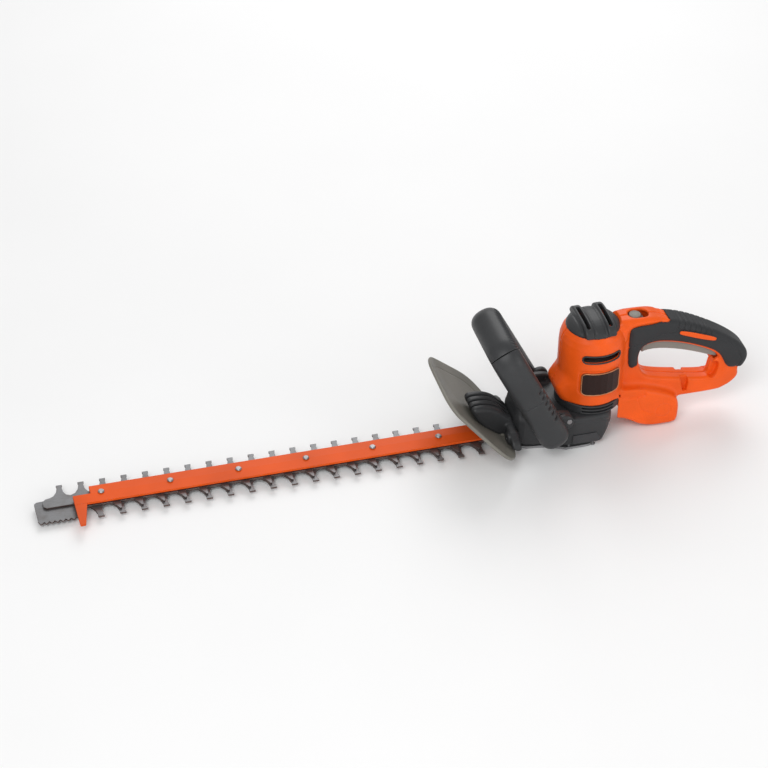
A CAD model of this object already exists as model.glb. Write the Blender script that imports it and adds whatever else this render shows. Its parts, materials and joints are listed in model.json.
# %% [markdown]
# # A corded hedge trimmer, from working model to portrait
#
# The working model already fixes every size, joint and fit. This script dresses it: it loads that model
# as a frame that nothing here may move, covers the coarse mouldings with smooth ones, and gives every
# part a finish.

import json
import math

import bmesh
import bpy
import numpy as np
from mathutils import Matrix, Vector


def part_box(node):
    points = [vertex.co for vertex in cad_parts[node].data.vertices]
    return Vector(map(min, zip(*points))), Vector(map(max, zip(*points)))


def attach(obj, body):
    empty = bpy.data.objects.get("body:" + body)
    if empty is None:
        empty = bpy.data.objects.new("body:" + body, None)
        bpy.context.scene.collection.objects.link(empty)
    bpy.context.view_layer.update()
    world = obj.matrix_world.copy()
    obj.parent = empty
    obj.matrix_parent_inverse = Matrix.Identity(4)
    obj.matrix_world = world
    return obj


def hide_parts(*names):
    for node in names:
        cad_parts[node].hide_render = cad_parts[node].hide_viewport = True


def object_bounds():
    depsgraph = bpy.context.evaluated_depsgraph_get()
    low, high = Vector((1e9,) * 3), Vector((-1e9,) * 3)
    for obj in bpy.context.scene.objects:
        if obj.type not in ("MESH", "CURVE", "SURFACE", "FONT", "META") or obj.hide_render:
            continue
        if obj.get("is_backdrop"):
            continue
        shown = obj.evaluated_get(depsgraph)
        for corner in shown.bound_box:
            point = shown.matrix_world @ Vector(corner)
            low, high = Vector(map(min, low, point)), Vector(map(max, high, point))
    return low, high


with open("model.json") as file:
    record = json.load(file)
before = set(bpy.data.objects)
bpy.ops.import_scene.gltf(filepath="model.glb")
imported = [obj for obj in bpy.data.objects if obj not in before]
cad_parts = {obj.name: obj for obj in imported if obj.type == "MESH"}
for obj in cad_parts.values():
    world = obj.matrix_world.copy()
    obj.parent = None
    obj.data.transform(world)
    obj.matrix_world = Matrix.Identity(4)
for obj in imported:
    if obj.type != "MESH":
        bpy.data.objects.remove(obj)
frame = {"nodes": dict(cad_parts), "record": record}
cad_low, cad_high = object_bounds()
MM = 0.001

# %% [markdown]
# ## Shader arithmetic
#
# A finish is a small graph of nodes. Wiring each node by hand hides the idea behind it, so one class
# wraps the output of a node and lets + - * / add Math nodes, which makes a mask read like the sentence
# that describes it.


# %% Wires and finishes
def plug(tree, what, slot):
    """Link a wire to a socket, or set the socket to a plain value."""
    if isinstance(what, Wire):
        tree.links.new(what.socket, slot)
    else:
        slot.default_value = what


class Wire:
    """The output of a shader node, on which arithmetic adds Math nodes."""

    def __init__(self, tree, socket):
        self.tree = tree
        self.socket = socket

    def math(self, operation, other=0.0, swapped=False, clamp=False):
        node = self.tree.nodes.new("ShaderNodeMath")
        node.operation = operation
        node.use_clamp = clamp
        for what, slot in zip((other, self) if swapped else (self, other), node.inputs):
            plug(self.tree, what, slot)
        return Wire(self.tree, node.outputs[0])

    def __add__(self, other):
        return self.math("ADD", other)

    def __sub__(self, other):
        return self.math("SUBTRACT", other)

    def __rsub__(self, other):
        return self.math("SUBTRACT", other, swapped=True)

    def __mul__(self, other):
        return self.math("MULTIPLY", other)

    def clipped(self):
        """The value held between 0 and 1."""
        return self.math("ADD", 0.0, clamp=True)

    def above(self, start, end):
        """0 up to a start and 1 from an end, rising in a straight line between them."""
        return ((self - start) * (1 / (end - start))).clipped()


FINISHES = {}


class Finish:
    """A material in the making, with its shader and the place on the object, kept under its name."""

    def __init__(self, name):
        self.material = bpy.data.materials.new(name)
        self.material.use_nodes = True
        self.tree = self.material.node_tree
        self.shader = self.tree.nodes["Principled BSDF"]
        self.place = self.node("ShaderNodeTexCoord", out="Object")
        FINISHES[name] = self

    def node(self, kind, settings=None, inputs=None, out=0):
        """Any node, from its type, its settings, and the values or wires of its sockets."""
        made = self.tree.nodes.new(kind)
        for key, value in (settings or {}).items():
            setattr(made, key, value)
        for key, value in (inputs or {}).items():
            plug(self.tree, value, made.inputs[key])
        return Wire(self.tree, made.outputs[out])

    def set(self, **sockets):
        """Set sockets of the shader itself, with _ for a space in a name."""
        for key, value in sockets.items():
            plug(self.tree, value, self.shader.inputs[key.replace("_", " ")])

    def noise(self, size, detail=3.0, roughness=0.55, stretch=None):
        """Smooth noise with blobs of about a size in millimetres, drawn out along the axes by a stretch."""
        place = self.place
        if stretch:
            squeeze = tuple(1 / value for value in stretch)
            settings = {"vector_type": "POINT"}
            place = self.node("ShaderNodeMapping", settings, {"Vector": place, "Scale": squeeze})
        sockets = {"Vector": place, "Scale": 1 / (size * MM), "Detail": detail, "Roughness": roughness}
        return self.node("ShaderNodeTexNoise", None, sockets)

    def mix(self, share, first, second):
        """A colour between two, by a share."""
        colour_a, colour_b, colour_out = 6, 7, 2
        sockets = {0: share, colour_a: first, colour_b: second}
        return self.node("ShaderNodeMix", {"data_type": "RGBA"}, sockets, colour_out)

    def rounded(self, radius):
        """The normal with edges rounded to a radius in millimetres, and a mask of the edges."""
        soft = self.node("ShaderNodeBevel", {"samples": 6}, {"Radius": radius * MM})
        plain = self.node("ShaderNodeNewGeometry", out="Normal")
        settings = {"operation": "DOT_PRODUCT"}
        alike = self.node("ShaderNodeVectorMath", settings, {0: soft, 1: plain}, "Value")
        return soft, ((1 - alike) * 6).clipped()

    def bump(self, height, depth, normal):
        """A relief of a depth in millimetres on top of a normal."""
        sockets = {"Height": height, "Distance": depth * MM, "Strength": 1.0, "Normal": normal}
        return self.node("ShaderNodeBump", None, sockets)


def shade(colour, factor):
    """A colour made darker or paler by a factor, as four channels."""
    return (colour[0] * factor, colour[1] * factor, colour[2] * factor, 1)


# %% [markdown]
# ## Moulded plastics
#
# The housing, the casing, the grip and the levers are all injection moulded. Such a surface has a fine
# spark texture of under a millimetre, a slow drift in tone, paler scuffs where edges have been handled,
# and soft edges. One function makes them all, because only the colour, the gloss and the depth of the
# texture differ.


# %% Plastic finishes
def moulded_plastic(name, colour, gloss, texture, edge=0.7, scuff=1.6, shine=0.22):
    """Plastic with spark texture, mottling, scuffed edges and rounded edges.

    The colour is the base colour times a slow drift and a fine mottle, lifted along scuffed edges. The
    roughness follows the mottle, and the relief is fine noise.
    """
    finish = Finish(name)
    normal, edges = finish.rounded(edge)
    drift = finish.noise(55, 2)
    mottle = finish.noise(1.4, 4)
    spark = finish.noise(0.5, 2, 0.7)
    rubbed = (edges * finish.noise(6, 4).above(0.42, 0.62)).clipped()
    tone = finish.mix(drift.above(0.3, 0.7), shade(colour, 0.86), shade(colour, 1.08))
    tone = finish.mix(mottle.above(0.35, 0.7) * 0.3, tone, shade(colour, 0.74))
    worn = tuple(min(1.0, channel * scuff + 0.02) for channel in colour[:3]) + (1,)
    finish.set(Base_Color=finish.mix(rubbed * 0.55, tone, worn))
    finish.set(Roughness=(mottle * 0.16 + (gloss - 0.08) + rubbed * 0.08).clipped())
    finish.set(Normal=finish.bump(spark, texture, normal), Specular_IOR_Level=shine)


ORANGE = (0.87, 0.105, 0.008)
moulded_plastic("orange_plastic", ORANGE, 0.38, 0.03, 0.6, 1.15)
moulded_plastic("dark_plastic", (0.034, 0.035, 0.037), 0.42, 0.05, 0.8, 2.2, 0.32)
moulded_plastic("soft_grip", (0.026, 0.027, 0.029), 0.58, 0.09, 0.8, 1.6, 0.3)
moulded_plastic("guard_grey", (0.2, 0.19, 0.165), 0.42, 0.04, 0.8, 1.5)
moulded_plastic("grey_plastic", (0.24, 0.225, 0.2), 0.45, 0.04, 0.7, 1.4)
moulded_plastic("label_grey", (0.05, 0.05, 0.053), 0.33, 0.01, 0.5, 5.0)
moulded_plastic("name_plate", (0.02, 0.006, 0.004), 0.3, 0.02, 0.5, 2.0)
print("plastics:", ", ".join(FINISHES))

# %% [markdown]
# ## Metals
#
# The blades are stamped from hard steel. Their broad faces are ground, so fine streaks run along them,
# and the cut flanks are left brown from heat. The bar is sprayed orange over steel, with chips along
# its edges where bare metal shows. Bolts, screws and the drive are plain machined steel.


# %% Metal finishes
def ground_steel(name, colour, gloss, streaks, flank=None):
    """Steel with streaks along x, paler worn edges and, where given, flanks of another colour.

    The streaks are noise squeezed across and stretched along x. A flank is a face whose normal lies level.
    """
    finish = Finish(name)
    normal, edges = finish.rounded(0.45)
    grain = finish.noise(streaks, 4, 0.6, (30, 1, 1))
    stain = finish.noise(16, 4)
    tone = finish.mix(grain.above(0.3, 0.7), shade(colour, 0.75), shade(colour, 1.2))
    tone = finish.mix(stain.above(0.5, 0.75) * 0.35, tone, (0.1, 0.075, 0.06, 1))
    if flank:
        facing = finish.node("ShaderNodeNewGeometry", out="True Normal")
        upward = finish.node("ShaderNodeSeparateXYZ", None, {0: facing}, "Z").math("ABSOLUTE")
        tone = finish.mix((1 - upward).above(0.3, 0.7) * (stain * 0.5 + 0.6).clipped(), tone, flank)
    finish.set(Base_Color=finish.mix(edges * 0.5, tone, shade(colour, 2.1)))
    finish.set(Roughness=(grain * 0.2 + (gloss - 0.1) + stain * 0.1).clipped(), Metallic=0.85)
    finish.set(Normal=finish.bump(grain, 0.02, normal))


def sprayed_bar():
    """Orange paint on steel: where edges are chipped the paint gives way to bare metal."""
    finish = Finish("orange_paint")
    normal, edges = finish.rounded(0.5)
    drift = finish.noise(80, 2)
    peel = finish.noise(1.1, 2)
    chips = (edges * finish.noise(2.2, 5, 0.7).above(0.55, 0.62)).clipped()
    tone = finish.mix(drift.above(0.3, 0.7), shade(ORANGE, 0.72), shade(ORANGE, 0.92))
    finish.set(Base_Color=finish.mix(chips, tone, (0.3, 0.29, 0.28, 1)))
    finish.set(Roughness=(peel * 0.12 + 0.42 + chips * 0.1).clipped(), Metallic=chips)
    finish.set(Coat_Weight=(1 - chips) * 0.06, Coat_Roughness=0.3, Specular_IOR_Level=0.15)
    finish.set(Normal=finish.bump(peel, 0.02, normal))


ground_steel("blade_steel", (0.2, 0.2, 0.205), 0.42, 0.35, (0.12, 0.075, 0.065, 1))
ground_steel("plated_steel", (0.34, 0.34, 0.35), 0.34, 0.5)
ground_steel("steel", (0.3, 0.3, 0.31), 0.36, 0.4)
ground_steel("copper", (0.55, 0.25, 0.12), 0.34, 0.4)
ground_steel("brass", (0.62, 0.44, 0.18), 0.3, 0.4)
moulded_plastic("carbon", (0.025, 0.025, 0.026), 0.6, 0.05, 0.3, 1.5)
sprayed_bar()
print(len(FINISHES), "finishes")

# %% [markdown]
# ## Dressing the nodes that stay
#
# A node that has its true shape keeps its mesh, and only its material changes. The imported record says
# which finish each node asks for, so the finishes are handed out by its slots and no node can be
# forgotten.

# %% Hand out the finishes
for part in frame["record"]["subparts"]:
    node = frame["nodes"][part["node"]]
    node.data.materials.clear()
    node.data.materials.append(FINISHES[part["material_slot"]].material)

# %% [markdown]
# ## Fields for moulded shells
#
# A moulded shell runs from one form into the next with a fillet, so it isn't a function of two
# parameters. Booleans on meshes leave hard seams. A field gives the distance to the surface at every
# point of a grid, negative inside, and there a fillet is one line of arithmetic: the smaller of two
# distances, eased where they are nearly alike. The surface is then the places where the field changes
# sign.


# %% Fields and the surface in them
FAR = 1e6


def softened(outline, rounds=2):
    """Cut the corners of a closed outline at a quarter and three quarters of each side, some times over."""
    points = np.array(outline, float)
    for _ in range(rounds):
        after = np.roll(points, -1, axis=0)
        points = np.stack([0.75 * points + 0.25 * after, 0.25 * points + 0.75 * after], 1).reshape(-1, 2)
    return points


def mirrored(half, signs=(-1, 1)):
    """Half of an outline and then its mirror image, which runs back to the start."""
    half = np.array(half, float)
    return np.vstack([half, half[::-1] * signs])


def unit(rows):
    """Each row scaled to a length of 1."""
    return rows / np.linalg.norm(rows, axis=1)[:, None]


def side_distance(u, v, start, side):
    """Distance to a straight side: to its nearest point, at a share of its length held between 0 and 1."""
    share = ((u - start[0]) * side[0] + (v - start[1]) * side[1]) / max(side @ side, 1e-9)
    share = np.clip(share, 0, 1)
    return np.hypot(u - start[0] - share * side[0], v - start[1] - share * side[1])


def outline_field(u, v, outline):
    """Distance in a plane to the nearest side. It is negative inside, where a ray crosses an odd number."""
    nearest = np.full(np.broadcast(u, v).shape, FAR)
    inside = np.zeros(nearest.shape, bool)
    points = np.asarray(outline, float)
    for start, end in zip(points, np.roll(points, -1, axis=0)):
        side = end - start
        nearest = np.minimum(nearest, side_distance(u, v, start, side))
        if side[1]:
            crossed = (start[1] > v) != (end[1] > v)
            inside ^= crossed & (u < start[0] + (v - start[1]) * side[0] / side[1])
    return np.where(inside, -nearest, nearest)


def line_field(u, v, line):
    """Distance in a plane to an open line."""
    nearest = np.full(np.broadcast(u, v).shape, FAR)
    points = np.asarray(line, float)
    for start, end in zip(points[:-1], points[1:]):
        side = end - start
        nearest = np.minimum(nearest, side_distance(u, v, start, side))
    return nearest


def thick(flat, across, half, rounding=0.0):
    """A plane shape thickened to both sides: two distances, joined by a quarter circle at the edge."""
    a = flat + rounding
    b = np.abs(across) - half + rounding
    return np.minimum(np.maximum(a, b), 0) + np.hypot(np.maximum(a, 0), np.maximum(b, 0)) - rounding


def merged(a, b, fillet):
    """The smaller of two fields, with a fillet where they are nearly alike."""
    near = np.maximum(fillet - np.abs(a - b), 0) / fillet
    return np.minimum(a, b) - near * near * fillet / 4


def carved(a, b, fillet=0.6):
    """One field with another taken out of it."""
    return -merged(-a, b, fillet)


def surface_in(field, low, cell):
    """One point in each cell that the surface crosses, at the mean of the crossings, and one face per edge.

    A grid edge crosses the surface where its ends differ in sign, at the share a / (a - b) of its length.
    The four cells around that edge share the face.
    """
    steps = np.array([field.shape[1] * field.shape[2], field.shape[2], 1])
    loops, owners, places = [], [], []
    for axis in range(3):
        first = np.take(field, range(field.shape[axis] - 1), axis)
        second = np.take(field, range(1, field.shape[axis]), axis)
        edge = np.argwhere((first < 0) != (second < 0))
        a = first[tuple(edge.T)]
        b = second[tuple(edge.T)]
        crossing = edge.astype(float)
        crossing[:, axis] += a / (a - b)
        u, v = (axis + 1) % 3, (axis + 2) % 3
        shifts = np.zeros((4, 3), int)
        shifts[:, u] = (-1, 0, 0, -1)
        shifts[:, v] = (-1, -1, 0, 0)
        loop = (edge[:, None] + shifts) @ steps
        owners.append(loop.ravel())
        places.append(np.repeat(crossing, 4, axis=0))
        loops.append(np.where((a < 0)[:, None], loop, loop[:, ::-1]))
    cells, index = np.unique(np.concatenate(owners), return_inverse=True)
    places = np.concatenate(places)
    count = np.bincount(index)
    points = np.stack([np.bincount(index, weights=places[:, k]) / count for k in range(3)], 1)
    return points * cell + low, np.searchsorted(cells, np.concatenate(loops))


# %% [markdown]
# ## From arrays to pieces
#
# Every new piece goes the same way: an array of points and one of faces become a mesh at the origin,
# which rides on the body of the nodes it stands for and takes one of the finishes.


# %% Make a piece
made_pieces = []


def placed(name, data):
    """A new object in the scene, from its data."""
    obj = bpy.data.objects.new(name, data)
    bpy.context.scene.collection.objects.link(obj)
    return obj


def piece(name, points, faces, body, slot, nodes=(), recalculate=False):
    """A mesh object from points in millimetres and faces. It rides on a body and stands for some nodes."""
    mesh = bpy.data.meshes.new(name)
    mesh.from_pydata(points * MM, [], faces.tolist())
    cage = bmesh.new()
    cage.from_mesh(mesh)
    if recalculate:
        bmesh.ops.remove_doubles(cage, verts=cage.verts, dist=1e-7)
        bmesh.ops.recalc_face_normals(cage, faces=cage.faces)
    cage.to_mesh(mesh)
    cage.free()
    mesh.shade_smooth()
    mesh.materials.append(FINISHES[slot].material)
    obj = placed(name, mesh)
    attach(obj, body)
    if nodes:
        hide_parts(*nodes)
    made_pieces.append(obj)
    low, high = points.min(0), points.max(0)
    print(f"{name}: {len(faces)} faces, x {low[0]:.1f} to {high[0]:.1f}, y {low[1]:.1f} to {high[1]:.1f}, "
          f"z {low[2]:.1f} to {high[2]:.1f} mm")


def moulding(name, shape, low, high, cell, body, slot, nodes=()):
    """A piece from a field, evaluated over a box with room to spare."""
    low = np.array(low, float) - 2 * cell
    high = np.array(high, float) + 2 * cell
    axes = np.ix_(*[np.arange(a, b + cell, cell) for a, b in zip(low, high)])
    field = np.broadcast_to(shape(*axes), [axis.size for axis in axes])
    points, faces = surface_in(np.ascontiguousarray(field), low, cell)
    piece(name, points, faces, body, slot, nodes)


def skin(name, grid, body, slot, nodes=()):
    """A piece from a grid of rows. Each row closes on itself, and the end rows shrink to a point."""
    rows, columns = grid.shape[:2]
    index = np.arange(rows * columns).reshape(rows, columns)
    beside = np.roll(index, -1, axis=1)
    faces = np.stack([index[:-1], beside[:-1], beside[1:], index[1:]], -1).reshape(-1, 4)
    piece(name, grid.reshape(-1, 3), faces, body, slot, nodes, recalculate=True)


# %% [markdown]
# ## Sizes taken from the frame
#
# The new mouldings have to sit exactly where the nodes are, so the main sizes are read off the nodes'
# boxes.

# %% Read the sizes
def span(node):
    """The low and high corners of a node's box, in millimetres."""
    low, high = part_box(node)
    return np.array(low) / MM, np.array(high) / MM


skirt_low, skirt_high = span("motor_skirt")
MOTOR_X = (skirt_low[0] + skirt_high[0]) / 2
SKIRT_RADIUS = (skirt_high[0] - skirt_low[0]) / 2
BARREL_RADIUS = span("housing_left")[0][1] * -1
BARREL_LOW = skirt_high[2] + 0.3
CAP_RADIUS = (span("vent_cap")[1][1] - span("vent_cap")[0][1]) / 2
CAP_TOP = span("vent_cap")[1][2]
CASE_HALF = span("gear_case")[1][1]
GRIP_HALF = span("grip_cover")[1][1]
BAR_TOP = span("blade_bar")[1][2]
BARREL_TOP = 158.0
WALL = 3.0
CORE_HALF = 14.0
CASE_REAR = 46.0
INLET_HALF = 29.0
print(f"motor axis at x {MOTOR_X:.1f}, barrel radius {BARREL_RADIUS:.1f}, case half width {CASE_HALF:.1f}")

# %% [markdown]
# ## The orange housing
#
# Two half shells meet on the middle plane: an upright barrel for the motor, a tongue with the lock
# button, the core of the grip, a beam along the bottom and the block for the power inlet. All of it is
# one moulding with fillets, so it is a field: a turned profile for the barrel, plane outlines with
# thickness for the rest, merged with fillets, and then carved by its hollows, slots and grooves.

# %% Outlines of the housing
GRIP_LINE = np.array([(112, 150.8), (130, 147.2), (150, 139.5), (170, 129), (190, 117), (207, 105),
                      (220, 93.5), (227.5, 83), (228, 72), (221, 60)])
ROOF_LINE = np.array([(84, 88), (83, 104), (88, 115), (102, 119), (121, 116), (141, 110), (160, 102),
                      (178, 92.5), (187, 84.5), (192, 75)])
FLOOR_LINE = np.array([(196, 62), (190, 53), (175, 51), (148, 56), (130, 59.5), (110, 64), (93, 70)])
SKIN = 3.7


def moved_out(line, offset):
    """A line shifted to its left by an offset."""
    run = unit(np.gradient(line, axis=0))
    return line + offset * np.column_stack([-run[:, 1], run[:, 0]])


HANDLE = np.vstack([[(50, 158), (62, 158.5), (103, 157)], moved_out(GRIP_LINE, -SKIN)[1:],
                    [(217, 58), (218.5, 47), (210, 38), (201, 33), (189, 28.5), (142, 28.5), (50, 34)]])
OPENING = np.vstack([ROOF_LINE, FLOOR_LINE])
TONGUE = [(50, 128), (50, 157.5), (95, 157), (108, 152.8), (104, 150.4), (80, 149.5), (70, 147),
          (66.5, 140), (66, 128)]
INLET = [(46.5, 23), (46.5, 23), (61, 20.7), (73, 15), (85, 6.5), (97, 2.5), (110, 1.2), (131, 1.2),
         (136, 6), (136.5, 28), (132, 41), (110, 52), (80, 62), (46.5, 62), (46.5, 62)]
HOOK = [(178, 44), (180, 60), (182, 71), (186, 78), (192, 77.5), (198, 70), (205, 60), (208, 46)]
LIP = [(-13, 90), (-21, 82), (-23.5, 76), (-21, 67), (-16, 60), (-12, BARREL_LOW), (10, BARREL_LOW),
       (10, 90)]
SHOULDER = [(20, 0), (27, 2), (33, 6), (37, 12), (39.3, 20), (40, 30)]
LIP_HALF = 21.0
HOOK_HALF = 12.5

# %% Hollows and marks of the housing
LEVER_ROOM = np.vstack([[(85, 95), (85, 126)], ROOF_LINE[2:7] + (0, 13),
                        [(182, 101), (194, 95), (197, 86), (192, 72), (176, 80), (150, 92), (120, 100)]])
SWITCH_ROOM = [(104, 120), (104, 146), (121, 146.5), (138, 141), (139, 112)]
BUTTON_ROOM = [(64, 138), (64, 153.5), (103, 153.5), (103, 138)]
BUTTON_X = 78.0
TRIGGER_PIVOT = (187.0, 89.0)
SCOOP = [(177, 52), (181, 67), (185.5, 74.5), (190, 73), (190.5, 62), (185, 49)]
CORD_GROOVE = [(138, 90), (147.5, 90), (152.5, 37), (143, 37)]
RECESS = [(53, 52), (57, 73), (72, 74), (91, 58), (90, 48)]
FLANK_SEAM = [(88, 62), (80, 47), (86, 30), (100, 22)]
DISC = (115.0, 24.0)
DISC_RADIUS = 9.5
SOCKET_LEVEL = 20.0
VENT_RADIUS = 21.0


def barrel_field(x, y, z, inset, low):
    """A turned solid: an outline of radius and height, read at the distance from the motor axis."""
    reach = np.hypot(x - MOTOR_X, y)
    wall = BARREL_RADIUS - inset
    right = [(r - inset, BARREL_TOP - inset - drop) for r, drop in SHOULDER]
    right += [(wall, low + 2), (wall - 1, low)]
    return outline_field(reach, z, mirrored(right))


def pill(u, v, low, high, radius):
    """A rectangle with round corners."""
    middle = np.add(low, high) / 2
    half = np.subtract(high, low) / 2 - radius
    a = np.abs(u - middle[0]) - half[0]
    b = np.abs(v - middle[1]) - half[1]
    return np.hypot(np.maximum(a, 0), np.maximum(b, 0)) + np.minimum(np.maximum(a, b), 0) - radius


# %% The field of the housing
def housing_solid(x, y, z):
    """The barrel, lip, handle, tongue, inlet block and hook, each merged with the last by a fillet."""
    def slab(outline, half, rounding):
        return thick(outline_field(x, z, softened(outline)), y, half, rounding)

    outside_cap = CAP_RADIUS + 0.3 - np.hypot(x - MOTOR_X, y)
    shell = merged(barrel_field(x, y, z, 0, BARREL_LOW), slab(LIP, LIP_HALF, 7), fillet=10)
    ring = np.maximum(outline_field(x, z, softened(HANDLE)), -outline_field(x, z, softened(OPENING)))
    shell = merged(shell, np.maximum(thick(ring, y, CORE_HALF, 5), outside_cap), fillet=5)
    shell = merged(shell, np.maximum(slab(TONGUE, GRIP_HALF - 0.4, 6), outside_cap), fillet=3)
    shell = merged(shell, slab(INLET, INLET_HALF, 5.5), fillet=9)
    return merged(shell, slab(HOOK, HOOK_HALF, 4), fillet=4)


def with_rooms(shell, x, y, z):
    """The solid with its inner rooms, its window, its socket and its vents taken out."""
    reach = np.hypot(x - MOTOR_X, y)
    shell = carved(shell, barrel_field(x, y, z, WALL, BARREL_LOW - 9))
    under = z - BARREL_LOW + 0.15
    shell = np.maximum(shell, -np.maximum(reach - SKIRT_RADIUS - 0.4, under))
    shell = np.maximum(shell, -np.maximum(x - CASE_REAR - 0.3, under))
    for room, half in ((LEVER_ROOM, 7.4), (SWITCH_ROOM, 9.5), (BUTTON_ROOM, 11.5)):
        shell = carved(shell, thick(outline_field(x, z, room), y, half))
    window = pill(x, y, (BUTTON_X - 8.8, -9), (BUTTON_X + 16.8, 9), 8.8)
    shell = carved(shell, np.maximum(window, 150 - z), 1.5)
    pocket = pill(x, y, (105, -18), (132, 18), 4)
    shell = carved(shell, np.maximum(pocket, np.abs(z - SOCKET_LEVEL) - 12))
    mouth = pill(y, z, (-15, SOCKET_LEVEL - 11), (15, SOCKET_LEVEL + 11), 2)
    shell = carved(shell, np.maximum(mouth, 129 - x), 1.5)
    shell = carved(shell, np.maximum(reach - VENT_RADIUS, 140 - z))
    louvre = pill(x, z, (MOTOR_X - 22, 122), (MOTOR_X + 25, 131), 4.2)
    return carved(shell, np.maximum(louvre, 25 - np.abs(y)), 1.2)


def with_marks(shell, x, y, z):
    """The grooves, the scoop and the recess in the flanks, then fine lines of under a millimetre."""
    side = np.abs(y)
    groove = outline_field(x, z, softened(CORD_GROOVE, 1))
    shell = carved(shell, np.maximum(groove, 7 - side), 1.5)
    recess = outline_field(x, z, softened(RECESS))
    shell = carved(shell, np.maximum(recess, INLET_HALF - 2.2 - side), 2)
    scoop = outline_field(x, z, softened(SCOOP))
    shell = carved(shell, np.maximum(scoop, 4.5 - side), 1.5)
    pin = np.maximum(np.hypot(x - TRIGGER_PIVOT[0], z - TRIGGER_PIVOT[1]) - 2.3, side - 11)
    shell = np.maximum(shell, -pin)
    plate = np.abs(pill(x, z, (MOTOR_X - 24.5, 73), (MOTOR_X + 28, 108.5), 7))
    shell = shell + 0.9 * panel_line(plate, side - 12, 0.9)
    disc = np.abs(np.hypot(x - DISC[0], z - DISC[1]) - DISC_RADIUS)
    shell = shell + 0.8 * panel_line(disc, side - 22, 0.8)
    return shell + 0.7 * panel_line(line_field(x, z, FLANK_SEAM), side - 20, 0.7)


def panel_line(distance, deep_enough, width):
    """1 along a line on the outer sides, fading over a width to each side of it."""
    return np.exp(-((distance / width) ** 2)) * (deep_enough > 0)


# %% The two halves
SPLIT = 0.15
HOUSING_SCREWS = ((76, 40), (160, 40), (209, 48))


def housing_half(side):
    """Half of the housing, with the screw holes, whose wide heads lie on the right."""
    def shape(x, y, z):
        field = with_marks(with_rooms(housing_solid(x, y, z), x, y, z), x, y, z)
        field = np.maximum(field, SPLIT - side * y)
        for screw_x, screw_z in HOUSING_SCREWS:
            reach = np.hypot(x - screw_x, z - screw_z)
            field = np.maximum(field, -np.maximum(reach - 1.8, np.abs(y) - 9.5))
            field = carved(field, np.maximum(reach - 3.8, 8.9 - y), 0.8)
        return field
    return shape


for name, side, low_y, high_y in (("housing_left", -1, -41, 0), ("housing_right", 1, 0, 41)):
    moulding("shell_" + name[8:], housing_half(side), (-24, low_y, 0), (230, high_y, 160), 0.95, "tool",
             "orange_plastic", (name,))

# %% [markdown]
# ## The soft grip
#
# A dark, softer plastic is moulded over the upper run of the handle. Across its crest run seven finger
# ribs, and a seam leads to and from the orange inlay. The ribs are a wave along the grip's own line,
# and the seam is the distance to a drawn line, so both are added to the field before the surface is
# found.

# %% The field of the grip
INLAY = [(130, 132.5), (133, 136.5), (180, 118), (181.5, 114), (178, 110.5), (132, 128.5)]
COVER_FRONT = [(66, 90), (65, 112), (65, 144), (68, 149.5), (80, 151.5), (98, 151.5), (107, 153.8)]
COVER_BACK = [(214, 61), (202, 62), (196, 68)]
COVER_OUTLINE = np.vstack([COVER_FRONT, GRIP_LINE, COVER_BACK, (ROOF_LINE + (0, 1.5))[::-1],
                           [(79, 86), (73, 84)]])
CORE_OUTLINE = np.vstack([[(50, 158.5), (103, 157.3)], moved_out(GRIP_LINE, -3.4)[1:],
                          [(217, 58), (190, 40), (70, 60), (50, 80)]])
RIB_STEP = 8.0
RIB_START = np.array([126.0, 148.0])
RIB_RUN = np.array([0.88, -0.475])
FRONT_SEAM = [(66, 118), (92, 128), (112, 134), (129, 132)]
REAR_SEAM = [(182, 115), (197, 106), (211, 92), (218, 76), (212, 64)]


def grip_field(x, y, z):
    """The cover with its ribs, its seam and a rim around the inlay, less the core that it is moulded over.

    A rib is the square of the positive half of a cosine along the crest.
    """
    cover = thick(outline_field(x, z, softened(COVER_OUTLINE)), y, GRIP_HALF, 9.5)
    along = (x - RIB_START[0]) * RIB_RUN[0] + (z - RIB_START[1]) * RIB_RUN[1]
    above = (z - RIB_START[1]) * RIB_RUN[0] - (x - RIB_START[0]) * RIB_RUN[1]
    wave = np.clip(np.cos(2 * np.pi * along / RIB_STEP), 0, 1) ** 2
    crest = (along > 1) * (along < 7.6 * RIB_STEP) * np.clip((above + 13) / 3, 0, 1)
    cover = cover + 1.5 * wave * crest
    seam = np.minimum(line_field(x, z, FRONT_SEAM), line_field(x, z, REAR_SEAM))
    inlay = np.abs(outline_field(x, z, softened(INLAY, 1)))
    cover = cover + 0.8 * panel_line(np.minimum(seam, inlay), np.abs(y) - 12, 0.8)
    core = thick(outline_field(x, z, CORE_OUTLINE), y, CORE_HALF + 0.3, 4.5)
    cover = np.maximum(cover, -core)
    return np.maximum(cover, BARREL_RADIUS + 0.3 - np.hypot(x - MOTOR_X, y))


moulding("grip_overmould", grip_field, (64, -19, 58), (230, 19, 157), 0.8, "tool", "soft_grip",
         ("grip_cover",))

# %% [markdown]
# The inlays are thin domed strips of the housing's colour set into both sides of the grip.

# %% The inlays
for name, side in (("left", -1), ("right", 1)):
    def strip(x, y, z, side=side):
        """A flat strip a little inside the inlay's outline, with round edges."""
        flat = outline_field(x, z, softened(INLAY, 2)) + 0.6
        return thick(flat, y - side * (GRIP_HALF + 0.6), 0.7, 0.5)
    low_y, high_y = sorted((side * (GRIP_HALF - 0.5), side * (GRIP_HALF + 1.5)))
    moulding("inlay_" + name, strip, (128, low_y, 108), (184, high_y, 138), 0.45, "tool", "orange_plastic",
             ("grip_inlay_" + name,))

# %% [markdown]
# ## The vent cap
#
# A dark dome closes the barrel. Two raised ribs cross it from side to side, each with a long slot that
# lets cooling air out. The dome is a turned profile, the ribs are a plane outline with thickness, and a
# fillet joins them.

# %% The cap
RIB_OFFSET = 14.0


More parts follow.
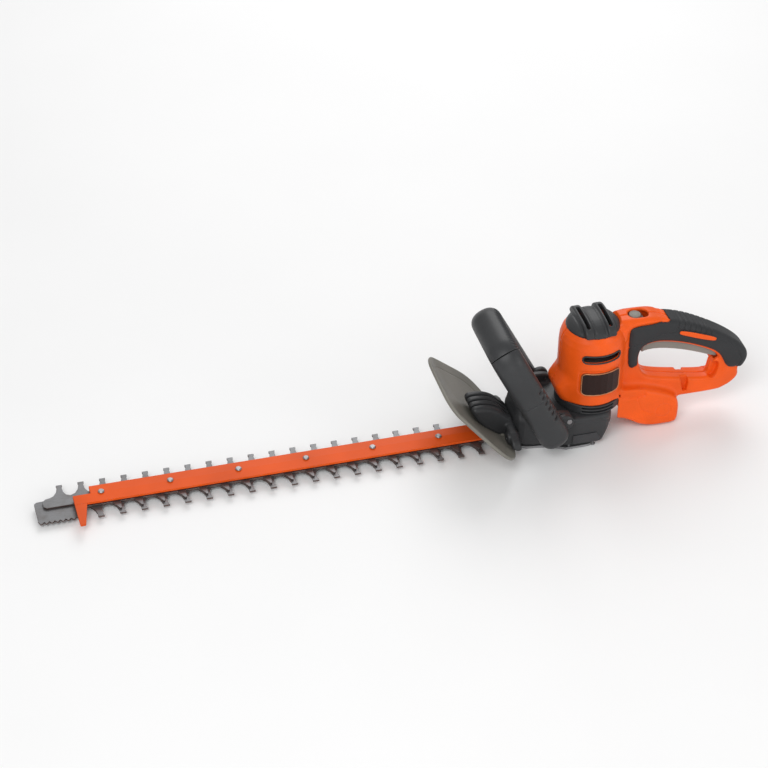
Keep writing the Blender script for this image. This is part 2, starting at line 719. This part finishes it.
def cap_field(x, y, z):
    """A turned dome, two ribs across it, less the barrel under it and a slot through each rib."""
    crown = CAP_TOP - 1.5
    reach = np.hypot(x - MOTOR_X, y)
    half = [(6, crown), (13, crown - 0.6), (22, crown - 3), (29, crown - 7), (CAP_RADIUS, crown - 12),
            (CAP_RADIUS, crown - 20)]
    cap = outline_field(reach, z, softened(mirrored(half), 1))
    cross = mirrored([(33, crown - 14), (32.5, crown - 7), (26, crown - 1), (15, crown + 1.5)])
    for side in (-1, 1):
        rib = thick(outline_field(y, z, softened(cross, 2)), x - MOTOR_X - side * RIB_OFFSET, 5.5, 2.2)
        cap = merged(cap, rib, 1.5)
    cap = np.maximum(cap, -(barrel_field(x, y, z, 0, 100) - 0.3))
    for side in (-1, 1):
        middle = MOTOR_X + side * RIB_OFFSET
        cap = carved(cap, pill(x, y, (middle - 2.2, -25), (middle + 2.2, 20), 2.1), 0.8)
    for side in (-1, 1):
        edge = np.abs(x - MOTOR_X - side * RIB_OFFSET) - 8
        cap = cap + 0.5 * np.exp(-((edge / 0.8) ** 2)) * (reach < 30)
    return cap


moulding("vent_dome", cap_field, (-9, -34, 144), (59, 34, 166), 0.6, "tool", "dark_plastic", ("vent_cap",))

# %% [markdown]
# ## The slotted band, the louvre frames and the name plates
#
# Under the orange barrel a dark band lets air in through two rows of slots. Each side of the barrel has
# a louvre with a thin dark frame, and a plate with a copper-coloured edge. The maker's lettering is
# left off the plate. The frames and the edge are a small round profile carried along a rounded
# rectangle on the barrel.


# %% The band
def band_field(x, y, z):
    """A short tube with two rows of slots in each side."""
    reach = np.hypot(x - MOTOR_X, y)
    low, high = skirt_low[2], skirt_high[2]
    middle = (low + high) / 2
    band = thick(np.abs(reach - SKIRT_RADIUS + 2.5) - 2.5, z - middle, (high - low) / 2, 0.8)
    for level in (low + 3.2, low + 7.9):
        slot = np.maximum(np.abs(z - level) - 1.3, np.abs(x - MOTOR_X) - 20)
        band = carved(band, np.maximum(slot, 27 - np.abs(y)), 0.5)
    return band


moulding("intake_band", band_field, (MOTOR_X - 42, -42, 45), (MOTOR_X + 42, 42, 57), 0.7, "tool",
         "dark_plastic", ("motor_skirt",))


# %% A bead along a rounded rectangle on the barrel
def rectangle_path(low, high, radius, count=10):
    """Points around a rectangle with round corners, as (x, z)."""
    turn = np.linspace(0, np.pi / 2, count)
    corners = []
    centres = ((high[0] - radius, high[1] - radius), (low[0] + radius, high[1] - radius),
               (low[0] + radius, low[1] + radius), (high[0] - radius, low[1] + radius))
    for quarter, (a, b) in enumerate(centres):
        angle = turn + quarter * np.pi / 2
        corners.append(np.column_stack([a + radius * np.cos(angle), b + radius * np.sin(angle)]))
    path = np.vstack(corners)
    fine = np.linspace(0, len(path), 8 * len(path), endpoint=False)
    closed = np.vstack([path, path[:1]])
    return np.column_stack([np.interp(fine, range(len(closed)), closed[:, k]) for k in (0, 1)])


def bead(name, path, radius, lift, side, slot):
    """A round wire along a closed path on the barrel: a ring of points around each point of the path."""
    depth = np.sqrt(np.maximum((BARREL_RADIUS + lift) ** 2 - (path[:, 0] - MOTOR_X) ** 2, 1))
    centre = np.column_stack([path[:, 0], side * depth, path[:, 1]])
    run = unit(np.roll(centre, -1, 0) - np.roll(centre, 1, 0))
    out = unit((centre - (MOTOR_X, 0, 0)) * (1, 1, 0))
    beside = np.cross(run, out)
    turn = np.linspace(0, 2 * np.pi, 10, endpoint=False)[None, :, None]
    grid = centre[:, None] + radius * (np.cos(turn) * out[:, None] + np.sin(turn) * beside[:, None])
    index = np.arange(grid.shape[0] * 10).reshape(-1, 10)
    ahead, beside_index = np.roll(index, -1, 0), np.roll(index, -1, 1)
    faces = np.stack([index, beside_index, np.roll(ahead, -1, 1), ahead], -1).reshape(-1, 4)
    piece(name, grid.reshape(-1, 3), faces, "tool", slot, recalculate=True)


LOUVRE_PATH = rectangle_path((MOTOR_X - 22.6, 121.4), (MOTOR_X + 25.6, 131.6), 4.6)
PLATE_PATH = rectangle_path((MOTOR_X - 22.5, 75), (MOTOR_X + 26, 106.5), 5.5)
for name, side in (("left", -1), ("right", 1)):
    bead("louvre_frame_" + name, LOUVRE_PATH, 1.0, 0.2, side, "dark_plastic")
    bead("plate_edge_" + name, PLATE_PATH, 0.8, 1.4, side, "copper")

# %% [markdown]
# ## The lower casing
#
# The gears run in a dark casing with a blunt nose, a hump over the blades, shoulders for the bail's
# feet and a chamfered heel. It is a field again, so that every form runs into the next with a fillet.

# %% The casing
NOSE_X = span("gear_case")[0][0]
CASE_TOP = 45.0
CASE_LOW = span("gear_case")[0][2]


def case_outline(inset):
    """The casing from above: a blunt nose that widens to parallel sides with round rear corners."""
    half = CASE_HALF - inset
    front, rear = NOSE_X + inset, CASE_REAR - inset
    near = [(front, inset - 24), (front + 13, inset - 31), (front + 40, inset - 35), (front + 59, -half),
            (rear - 18, -half), (rear - 9, -half + 2.4), (rear - 2.4, -half + 9), (rear, -half + 18)]
    return mirrored(near, (1, -1))


HUMP = [(-74.5, 20), (-74.5, 50), (-71, 59), (-62, 62), (-48, 57), (-40, 44), (-40, 20)]
FOOT_BOSS = [(-54, 38), (-46, 52), (-36, 58.5), (-20, 58.5), (-11, 54), (-4, 38)]
HEEL = [(27, 0), (42, 27), (60, 27), (60, -5), (27, -5)]
GEAR_ROOM = mirrored([(NOSE_X + 16, -25), (NOSE_X + 40, -25), (NOSE_X + 52, -37), (22, -37), (25, -33)],
                     (1, -1))
CASE_RIM = [(-60, 37), (-48, 42), (-6, 41), (30, 38), (40, 34)]
BAIL_SCREW = (-16.5, 50.0)


def case_field(x, y, z):
    """The casing, its hump and its bosses, less the heel, the room for gears and blades, and the holes."""
    middle = (CASE_LOW + CASE_TOP) / 2
    case = thick(outline_field(x, y, softened(case_outline(0), 1)), z - middle, CASE_TOP - middle, 6)
    case = merged(case, thick(outline_field(x, z, softened(HUMP, 1)), y, 22, 6), fillet=8)
    boss = thick(outline_field(x, z, softened(FOOT_BOSS)), np.abs(y) - 40.5, 4.4, 2.5)
    case = merged(case, boss, fillet=4)
    case = carved(case, np.maximum(outline_field(x, y, GEAR_ROOM), z - 23))
    high_room = GEAR_ROOM + (12.5, 0) * (GEAR_ROOM[:, :1] > 0)
    case = carved(case, np.maximum(outline_field(x, y, high_room), np.abs(z - 31.5) - 9.5))
    case = carved(case, outline_field(x, z, HEEL), 3)
    slot = np.maximum(np.maximum(np.abs(y) - 15.1, z - BAR_TOP - 0.3), x - NOSE_X - 21)
    case = carved(case, slot, 1.5)
    case = carved(case, np.maximum(np.hypot(x - MOTOR_X, y) - 8, 37 - z))
    for screw_x in (NOSE_X + 64, CASE_REAR - 26):
        case = np.maximum(case, -np.maximum(np.hypot(x - screw_x, np.abs(y) - 41) - 1.8, z - 14.5))
    bail_hole = np.hypot(x - BAIL_SCREW[0], z - BAIL_SCREW[1]) - 2.1
    case = np.maximum(case, -np.maximum(bail_hole, 36.5 - np.abs(y)))
    return case + 0.8 * panel_line(line_field(x, z, CASE_RIM), np.abs(y) - 24, 0.8)


moulding("lower_casing", case_field, (-75, -45, 3), (46, 45, 62), 0.95, "tool", "dark_plastic",
         ("gear_case",))

# %% [markdown]
# ## The bail handle
#
# The front handle is a closed loop of fat oval tube with round feet on both sides of the casing. A
# profile carried along a path gives it exactly: an oval at each station of a centre line, whose size
# falls to nothing at the feet. Slots along the rear of each arm and the ribbed strip on the underside
# of the grip are dents in the oval. The tube is parted at two seams, so it is three pieces, as on the
# real tool.

# %% The centre line
BAIL_FOOT = np.array([-36.0, 0, 34.0])
BAIL_TOP = np.array([-99.5, 0, 155.5])
BAIL_RISE = float(np.linalg.norm(BAIL_TOP - BAIL_FOOT))
BAIL_UP = (BAIL_TOP - BAIL_FOOT) / BAIL_RISE
BAIL_BACK = np.array([BAIL_UP[2], 0, -BAIL_UP[0]])
BAIL_WIDTH = 15.5
BAIL_DEPTH = 19.0
FOOT_Y = CASE_HALF + 0.3 + BAIL_WIDTH * 0.8
SEAM_Y = 37.0
SLOT_HEIGHTS = np.arange(31.6, 80, 8.8)
SLOT_TURN = 2.05
SLOT_DEPTH = 3.2
PARTING_HEIGHT = 64.0
RIBBING_STEP = 3.2
OVAL_POWER = 0.88
END_RADIUS = 16.0
CAP_ROWS = ((0.97, 0.6), (0.9, 0.9), (0, 1))


def bail_centre(count):
    """The loop in its own plane, as (y, height): straight arms and round corners, evenly spaced."""
    turn = np.radians(np.linspace(180, 90, 12))
    corner = np.column_stack([-24 + 21 * np.cos(turn), BAIL_RISE - 21 + 21 * np.sin(turn)])
    half = np.vstack([[(-FOOT_Y + 1.5, -13), (-FOOT_Y, 0), (-(FOOT_Y + 45) / 2, 0.5 * BAIL_RISE)], corner])
    loop = mirrored(half)
    for _ in range(3):
        inner = 0.25 * (loop[:-2] + 2 * loop[1:-1] + loop[2:])
        loop = np.vstack([loop[:1], inner, loop[-1:]])
        middle = 0.5 * (loop[:-1] + loop[1:])
        loop = np.insert(loop, range(1, len(loop)), middle, axis=0)
    length = np.concatenate([[0], np.cumsum(np.hypot(*np.diff(loop, axis=0).T))])
    even = np.linspace(0, length[-1], count)
    return np.column_stack([np.interp(even, length, loop[:, k]) for k in (0, 1)]), even


# %% The oval along it
def bail_dents(centre, length, turn):
    """How far each point lies under the oval, for the slots, a parting line and the ribbed strip.

    A slot is exp(-(distance / size)^4) along the arm, times the same around it, so its floor is flat. The
    strip is a cosine along the grip.
    """
    height = centre[:, 1]
    dent = np.zeros((len(centre), len(turn)))
    for slot_height in SLOT_HEIGHTS:
        near = np.exp(-(((height - slot_height) / 1.7) ** 4))[:, None]
        dent += SLOT_DEPTH * near * np.exp(-(((turn - SLOT_TURN) / 0.42) ** 4))[None]
    dent += 0.9 * np.exp(-(((height - PARTING_HEIGHT) / 0.7) ** 2))[:, None] * (turn > 2.6)[None]
    on_grip = (np.abs(centre[:, 0]) < SEAM_Y - 1) & (height > 0.75 * BAIL_RISE)
    ribbed = 1.1 * (0.5 + 0.5 * np.cos(2 * np.pi * length / RIBBING_STEP))[:, None]
    strip = np.exp(-(((turn - 1.8) / 0.42) ** 6))[None]
    return dent + ribbed * strip * on_grip[:, None]


def squared(value):
    """A sine or cosine raised to a power under 1, which makes an oval squarer."""
    return np.sign(value) * np.abs(value) ** OVAL_POWER


def bail_grid(first, last, count=900, around=72):
    """Rows of ovals from one y to another, closed at both ends by rows that shrink to a point.

    At the ends of the loop the ovals shrink as the sections of a ball do.
    """
    centre, length = bail_centre(count)
    run = unit(np.gradient(centre, axis=0))
    end = np.minimum(length, length[-1] - length)
    size = np.sqrt(1 - np.clip((END_RADIUS - end) / END_RADIUS, 0, 1) ** 2)
    turn = np.linspace(0, 2 * np.pi, around, endpoint=False)
    dent = bail_dents(centre, length, turn)
    wide = (BAIL_WIDTH * size[:, None] - dent) * squared(np.cos(turn))[None]
    thick_part = (BAIL_DEPTH * size[:, None] - dent) * squared(np.sin(turn))[None]
    side = np.column_stack([-run[:, 1], run[:, 0]])
    flat = centre[:, None] - wide[..., None] * side[:, None]
    grid = BAIL_FOOT + flat[..., 1:] * BAIL_UP + thick_part[..., None] * BAIL_BACK
    grid[..., 1] = flat[..., 0]
    clear = np.interp(grid[..., 2], (66, 96), (CASE_HALF + 0.4, 33))
    outward = np.sign(centre[:, 0])[:, None]
    grid[..., 1] = outward * np.maximum(outward * grid[..., 1], clear * (grid[..., 2] < 96))
    keep = (centre[:, 0] >= first) & (centre[:, 0] <= last)
    grid = grid[keep]
    caps = []
    for row, inner in ((grid[0], grid[1]), (grid[-1], grid[-2])):
        heart = row.mean(0)
        step = row.mean(0) - inner.mean(0)
        caps.append([heart + (row - heart) * share + step * push for share, push in CAP_ROWS])
    return np.concatenate([np.array(caps[0][::-1]), grid, np.array(caps[1])])


for name, first, last in (("grip", -SEAM_Y + 0.2, SEAM_Y - 0.2), ("arm_left", -100, -SEAM_Y - 0.2),
                          ("arm_right", SEAM_Y + 0.2, 100)):
    skin("front_" + name, bail_grid(first, last), "tool", "dark_plastic", ("bail_" + name,))

# %% [markdown]
# Behind each foot a round lobe takes the screw that holds the arm.

# %% The lobes
for name, side in (("left", -1), ("right", 1)):
    def lobe(x, y, z, side=side):
        """A disc joined to a bar, with a hole for the screw and a sink for its head."""
        hole = np.hypot(x - BAIL_SCREW[0], z - BAIL_SCREW[1])
        body = np.hypot(x + 21, z - 48.5) - 10.5
        body = merged(body, outline_field(x, z, [(-40, 40), (-40, 56), (-26, 56), (-26, 40)]), 4)
        body = thick(body, y - side * (CASE_HALF + 4.3), 4, 2.6)
        body = np.maximum(body, 2.1 - hole)
        return carved(body, np.maximum(hole - 3.8, CASE_HALF + 5.8 - side * y), 0.6)
    low_y, high_y = sorted((side * CASE_HALF, side * (CASE_HALF + 9)))
    moulding("arm_lobe_" + name, lobe, (-41, low_y, 37), (-10, high_y, 60), 0.5, "tool", "dark_plastic",
             ("bail_arm_" + name,))

# %% [markdown]
# ## The hand guard
#
# A dished shield stands between the hands and the blades, leaning forward, with a thick rolled rim and
# a shallow step inside it. Around its middle it is a function of two parameters: the direction from the
# centre, and how far out along a closed section that runs up the rear face, round the rim and back
# along the front face. The outline is a squarish oval, with a bay at its foot for the bar.

# %% The shield
GUARD_WIDTH = span("hand_guard")[1][1]
GUARD_CENTRE = np.array([-125.0, 0.0, 57.7])
GUARD_LEAN = math.radians(43.7)
GUARD_DOWN = np.array([math.sin(GUARD_LEAN), 0, -math.cos(GUARD_LEAN)])
GUARD_OUT = np.array([math.cos(GUARD_LEAN), 0, math.sin(GUARD_LEAN)])
GUARD_DISH = 9.0
GUARD_THICKNESS = 2.8
GUARD_HALF = [(-62, 0), (-62, 22), (-60.5, 42), (-53, 59), (-40, 64.5), (-14, 72.5), (8, 79.5), (27, 82.8),
              (42, 78), (56, 64), (64, 44), (66, 24), (66, 0)]
GUARD_RIM = 2.4


def shield_edge(angle):
    """How far the outline is from the centre, with the foot drawn in over the bar."""
    outline = softened(GUARD_HALF + [(down, -out) for down, out in GUARD_HALF[-2:0:-1]], 2)
    around = np.arctan2(outline[:, 1], outline[:, 0])
    order = np.argsort(around)
    reach = np.interp(angle, around[order], np.hypot(*outline.T)[order], period=2 * np.pi)
    down, out = reach * np.cos(angle), np.clip(reach * np.sin(angle), 0.3 - GUARD_WIDTH, GUARD_WIDTH - 0.3)
    foot = (GUARD_CENTRE[2] - BAR_TOP - 5) / -GUARD_DOWN[2]
    bay = np.clip((22 - np.abs(out)) / 5, 0, 1)
    bay = bay * bay * (3 - 2 * bay)
    down = np.where(down > foot, down + (foot - down) * bay, down)
    return down, out


def shield(rows=110, around=360):
    """The shield as rows of points: its section runs out along one face and back along the other.

    Along it run the share of the way out, the face from 1 to -1, and the bulge of the rim between them.
    """
    angle = np.linspace(0, 2 * np.pi, around, endpoint=False)
    edge_down, edge_out = shield_edge(angle)
    share = np.concatenate([np.linspace(0, 1, rows) ** 0.7, np.ones(15), np.linspace(1, 0, rows) ** 0.7])
    face = np.concatenate([np.ones(rows), np.cos(np.linspace(0, np.pi, 15)), -np.ones(rows)])
    bulge = np.concatenate([np.zeros(rows), np.sin(np.linspace(0, np.pi, 15)), np.zeros(rows)])
    reach = np.hypot(edge_down, edge_out)
    inward = 1 - GUARD_RIM / reach
    spread = share[:, None] * inward[None] + bulge[:, None] * GUARD_RIM / reach[None]
    down, out = spread * edge_down, spread * edge_out
    dish = -GUARD_DISH * (1 - share[:, None] ** 2)
    near_rim = np.exp(-(((1 - share) * 9) ** 2))[:, None]
    step = -0.5 * np.exp(-(((share - 0.84) / 0.012) ** 2))[:, None] * (face[:, None] > 0)
    wall = face[:, None] * (GUARD_THICKNESS / 2 + 0.9 * near_rim) - GUARD_THICKNESS / 2
    height = dish + wall + step
    place = GUARD_CENTRE + down[..., None] * GUARD_DOWN + height[..., None] * GUARD_OUT
    place[..., 1] += out
    return place


skin("shield", shield(), "tool", "guard_grey", ("hand_guard",))

# %% [markdown]
# ## The bracket
#
# A dark carrier joins the shield to the nose of the casing. It has a wing to each side, and a block
# that runs forward behind the shield, parted into four ribs by three grooves.

# %% The bracket
BRACKET_REAR = NOSE_X - 0.3
BRACKET_FRONT = NOSE_X - 12
BRACKET_BACK = [(-52, 14), (52, 14), (54, 23), (44, 31), (22, 35), (-22, 35), (-44, 31), (-54, 23)]
BRACKET_SIDE = [(-75.5, 20), (-75.5, 40), (-84, 45), (-90, 53), (-101, 60.5), (-114, 64), (-131, 63),
                (-124, 46), (-112, 30), (-104, 16)]
BRACKET_BOSS = (34.0, 25.0)


def bracket_field(x, y, z):
    """The wings and the grooved block, with a boss on each wing, less the shield's place and the bar's."""
    middle = (BRACKET_REAR + BRACKET_FRONT) / 2
    wings = outline_field(y, z, softened(BRACKET_BACK))
    body = thick(wings, x - middle, (BRACKET_REAR - BRACKET_FRONT) / 2, 3)
    profile = outline_field(x, z, softened(BRACKET_SIDE))
    block = thick(profile, y - 1, 20, 5)
    for index in range(3):
        groove = np.abs(y - 1 - (index - 1) * 9.6) - 1.4
        block = carved(block, np.maximum(groove, -profile - 4), 1.2)
    body = merged(body, block, fillet=3)
    for side in (-1, 1):
        boss = np.hypot(y - side * BRACKET_BOSS[0], z - BRACKET_BOSS[1])
        body = merged(body, thick(boss - 7.5, x - middle + 1.5, 7, 2), fillet=2)
        body = carved(body, np.maximum(boss - 2.6, x - BRACKET_FRONT - 1), 0.6)
    across = (x - GUARD_CENTRE[0]) * GUARD_OUT[0] + (z - GUARD_CENTRE[2]) * GUARD_OUT[2]
    down = (x - GUARD_CENTRE[0]) * GUARD_DOWN[0] + (z - GUARD_CENTRE[2]) * GUARD_DOWN[2]
    above = across + GUARD_DISH * (1 - (down ** 2 + y ** 2) / GUARD_HALF[-1][0] ** 2)
    body = np.maximum(body, 0.35 - above)
    passage = np.maximum(np.abs(y) - 15.8, z - BAR_TOP - 1)
    return carved(body, passage, 1)


moulding("guard_carrier", bracket_field, (-132, -56, 12), (BRACKET_REAR, 56, 66), 0.8, "tool",
         "dark_plastic", ("guard_bracket",))

# %% [markdown]
# ## Lever and button
#
# The squeeze lever under the grip and the lock button in its window move, so each rides on its own
# body. Both have generous round edges where fingers meet them.

# %% The lever
LEVER_LOW = [(190, 79), (185, 78.5), (165, 87.5), (146, 95), (126, 101), (107, 104.5), (93, 104), (88, 101)]


def lever_field(x, y, z):
    """A curved bar under the grip, with an eye for its pin and a crease along each side."""
    outline = np.vstack([(ROOF_LINE + (0, 2))[2:9], LEVER_LOW])
    lever = thick(outline_field(x, z, softened(outline, 1)), y, 7, 2.6)
    eye = np.hypot(x - TRIGGER_PIVOT[0], z - TRIGGER_PIVOT[1])
    lever = merged(lever, thick(eye - 5, y, 7, 1), 1)
    crease = line_field(x, z, np.array(LEVER_LOW[1:]) + (0, 3.4))
    lever = lever + 0.5 * panel_line(crease, np.abs(y) - 5, 0.5)
    return np.maximum(lever, 2.4 - eye)


moulding("squeeze_lever", lever_field, (86, -7, 77), (194, 7, 124), 0.55, "trigger", "grey_plastic",
         ("trigger_lever",))


# %% The button
def button_field(x, y, z):
    """A round knob with a ring on its top, on a flat slider."""
    reach = np.hypot(x - BUTTON_X, y)
    knob = thick(reach - 7.3, z - 153, 5, 1.6)
    knob = knob + 0.5 * np.exp(-(((reach - 4.6) / 0.5) ** 2)) * (z > 156)
    slider = thick(pill(x, y, (BUTTON_X - 12, -10.5), (BUTTON_X + 12, 10.5), 2), z - 147.5, 2.5, 0.6)
    return merged(knob, slider, 1)


moulding("lock_knob", button_field, (BUTTON_X - 12, -10.5, 145), (BUTTON_X + 12, 10.5, 158), 0.4,
         "button", "grey_plastic", ("lock_button",))

# %% [markdown]
# ## Floor, light and camera
#
# A plain pale floor and four large soft lights, as for a catalogue picture. The camera stands in front
# and to the left of the tool, high enough to look down on both rows of teeth.

# %% The stage
def floor_colour():
    """A matte pale grey with a slow drift."""
    finish = Finish("pale_floor")
    tone = finish.mix(finish.noise(300, 2), (0.86, 0.86, 0.86, 1), (0.9, 0.9, 0.9, 1))
    finish.set(Base_Color=tone, Roughness=0.6)
    return finish.material


FLOOR_HALF = 6.0
FLOOR_DROP = 0.0004
floor_mesh = bpy.data.meshes.new("floor")
corners = np.array([(-1, -1), (1, -1), (1, 1), (-1, 1)]) * FLOOR_HALF
floor_mesh.from_pydata([(x, y, cad_low.z - FLOOR_DROP) for x, y in corners], [], [(0, 1, 2, 3)])
floor_mesh.materials.append(floor_colour())
floor = placed("floor", floor_mesh)
floor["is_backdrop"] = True

middle = (cad_low + cad_high) / 2
for name, place, size, power in (
    ("key_light", (-1.3, -1.6, 2.2), 1.4, 34),
    ("fill_light", (1.6, -1.5, 1.0), 1.2, 10),
    ("back_light", (0.4, 1.8, 1.7), 1.6, 24),
    ("low_strip", (-0.2, -2.2, 0.35), 0.9, 5),
):
    lamp = bpy.data.lights.new(name, "AREA")
    lamp.shape = "SQUARE"
    lamp.size = size
    lamp.energy = power
    light = placed(name, lamp)
    light.location = place
    light.rotation_euler = (middle - Vector(place)).to_track_quat("-Z", "Y").to_euler()

world = bpy.data.worlds.new("studio")
world.use_nodes = True
sky = world.node_tree.nodes["Background"].inputs
sky["Color"].default_value = (1, 1, 1, 1)
sky["Strength"].default_value = 0.5
bpy.context.scene.world = world
bpy.context.scene.view_settings.view_transform = "Standard"

# %% The camera
CAMERA_PLACE = Vector((-0.8917, -2.2727, 1.9169))
CAMERA_AIM = Vector((-0.2356, 0, 0.1107))
CAMERA_ROLL = math.radians(0.98)
lens = bpy.data.cameras.new("portrait")
lens.lens = 117.19
lens.sensor_width = 36
camera = placed("portrait", lens)
forward = (CAMERA_AIM - CAMERA_PLACE).normalized()
turn = forward.to_track_quat("-Z", "Y").to_matrix().to_4x4() @ Matrix.Rotation(CAMERA_ROLL, 4, "Z")
camera.matrix_world = Matrix.Translation(CAMERA_PLACE) @ turn
bpy.context.scene.camera = camera

# %% [markdown]
# ## Check the size and finish
#
# The visual model must not outgrow the working model, so both boxes are kept side by side.

# %% Write the boxes and finish
seen_low, seen_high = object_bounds()
boxes = {"cad": [list(cad_low), list(cad_high)], "visual": [list(seen_low), list(seen_high)]}
for label, (low, high) in boxes.items():
    print(label, "box", [round((b - a) / MM, 1) for a, b in zip(low, high)], "mm")
print(len(made_pieces), "new pieces")
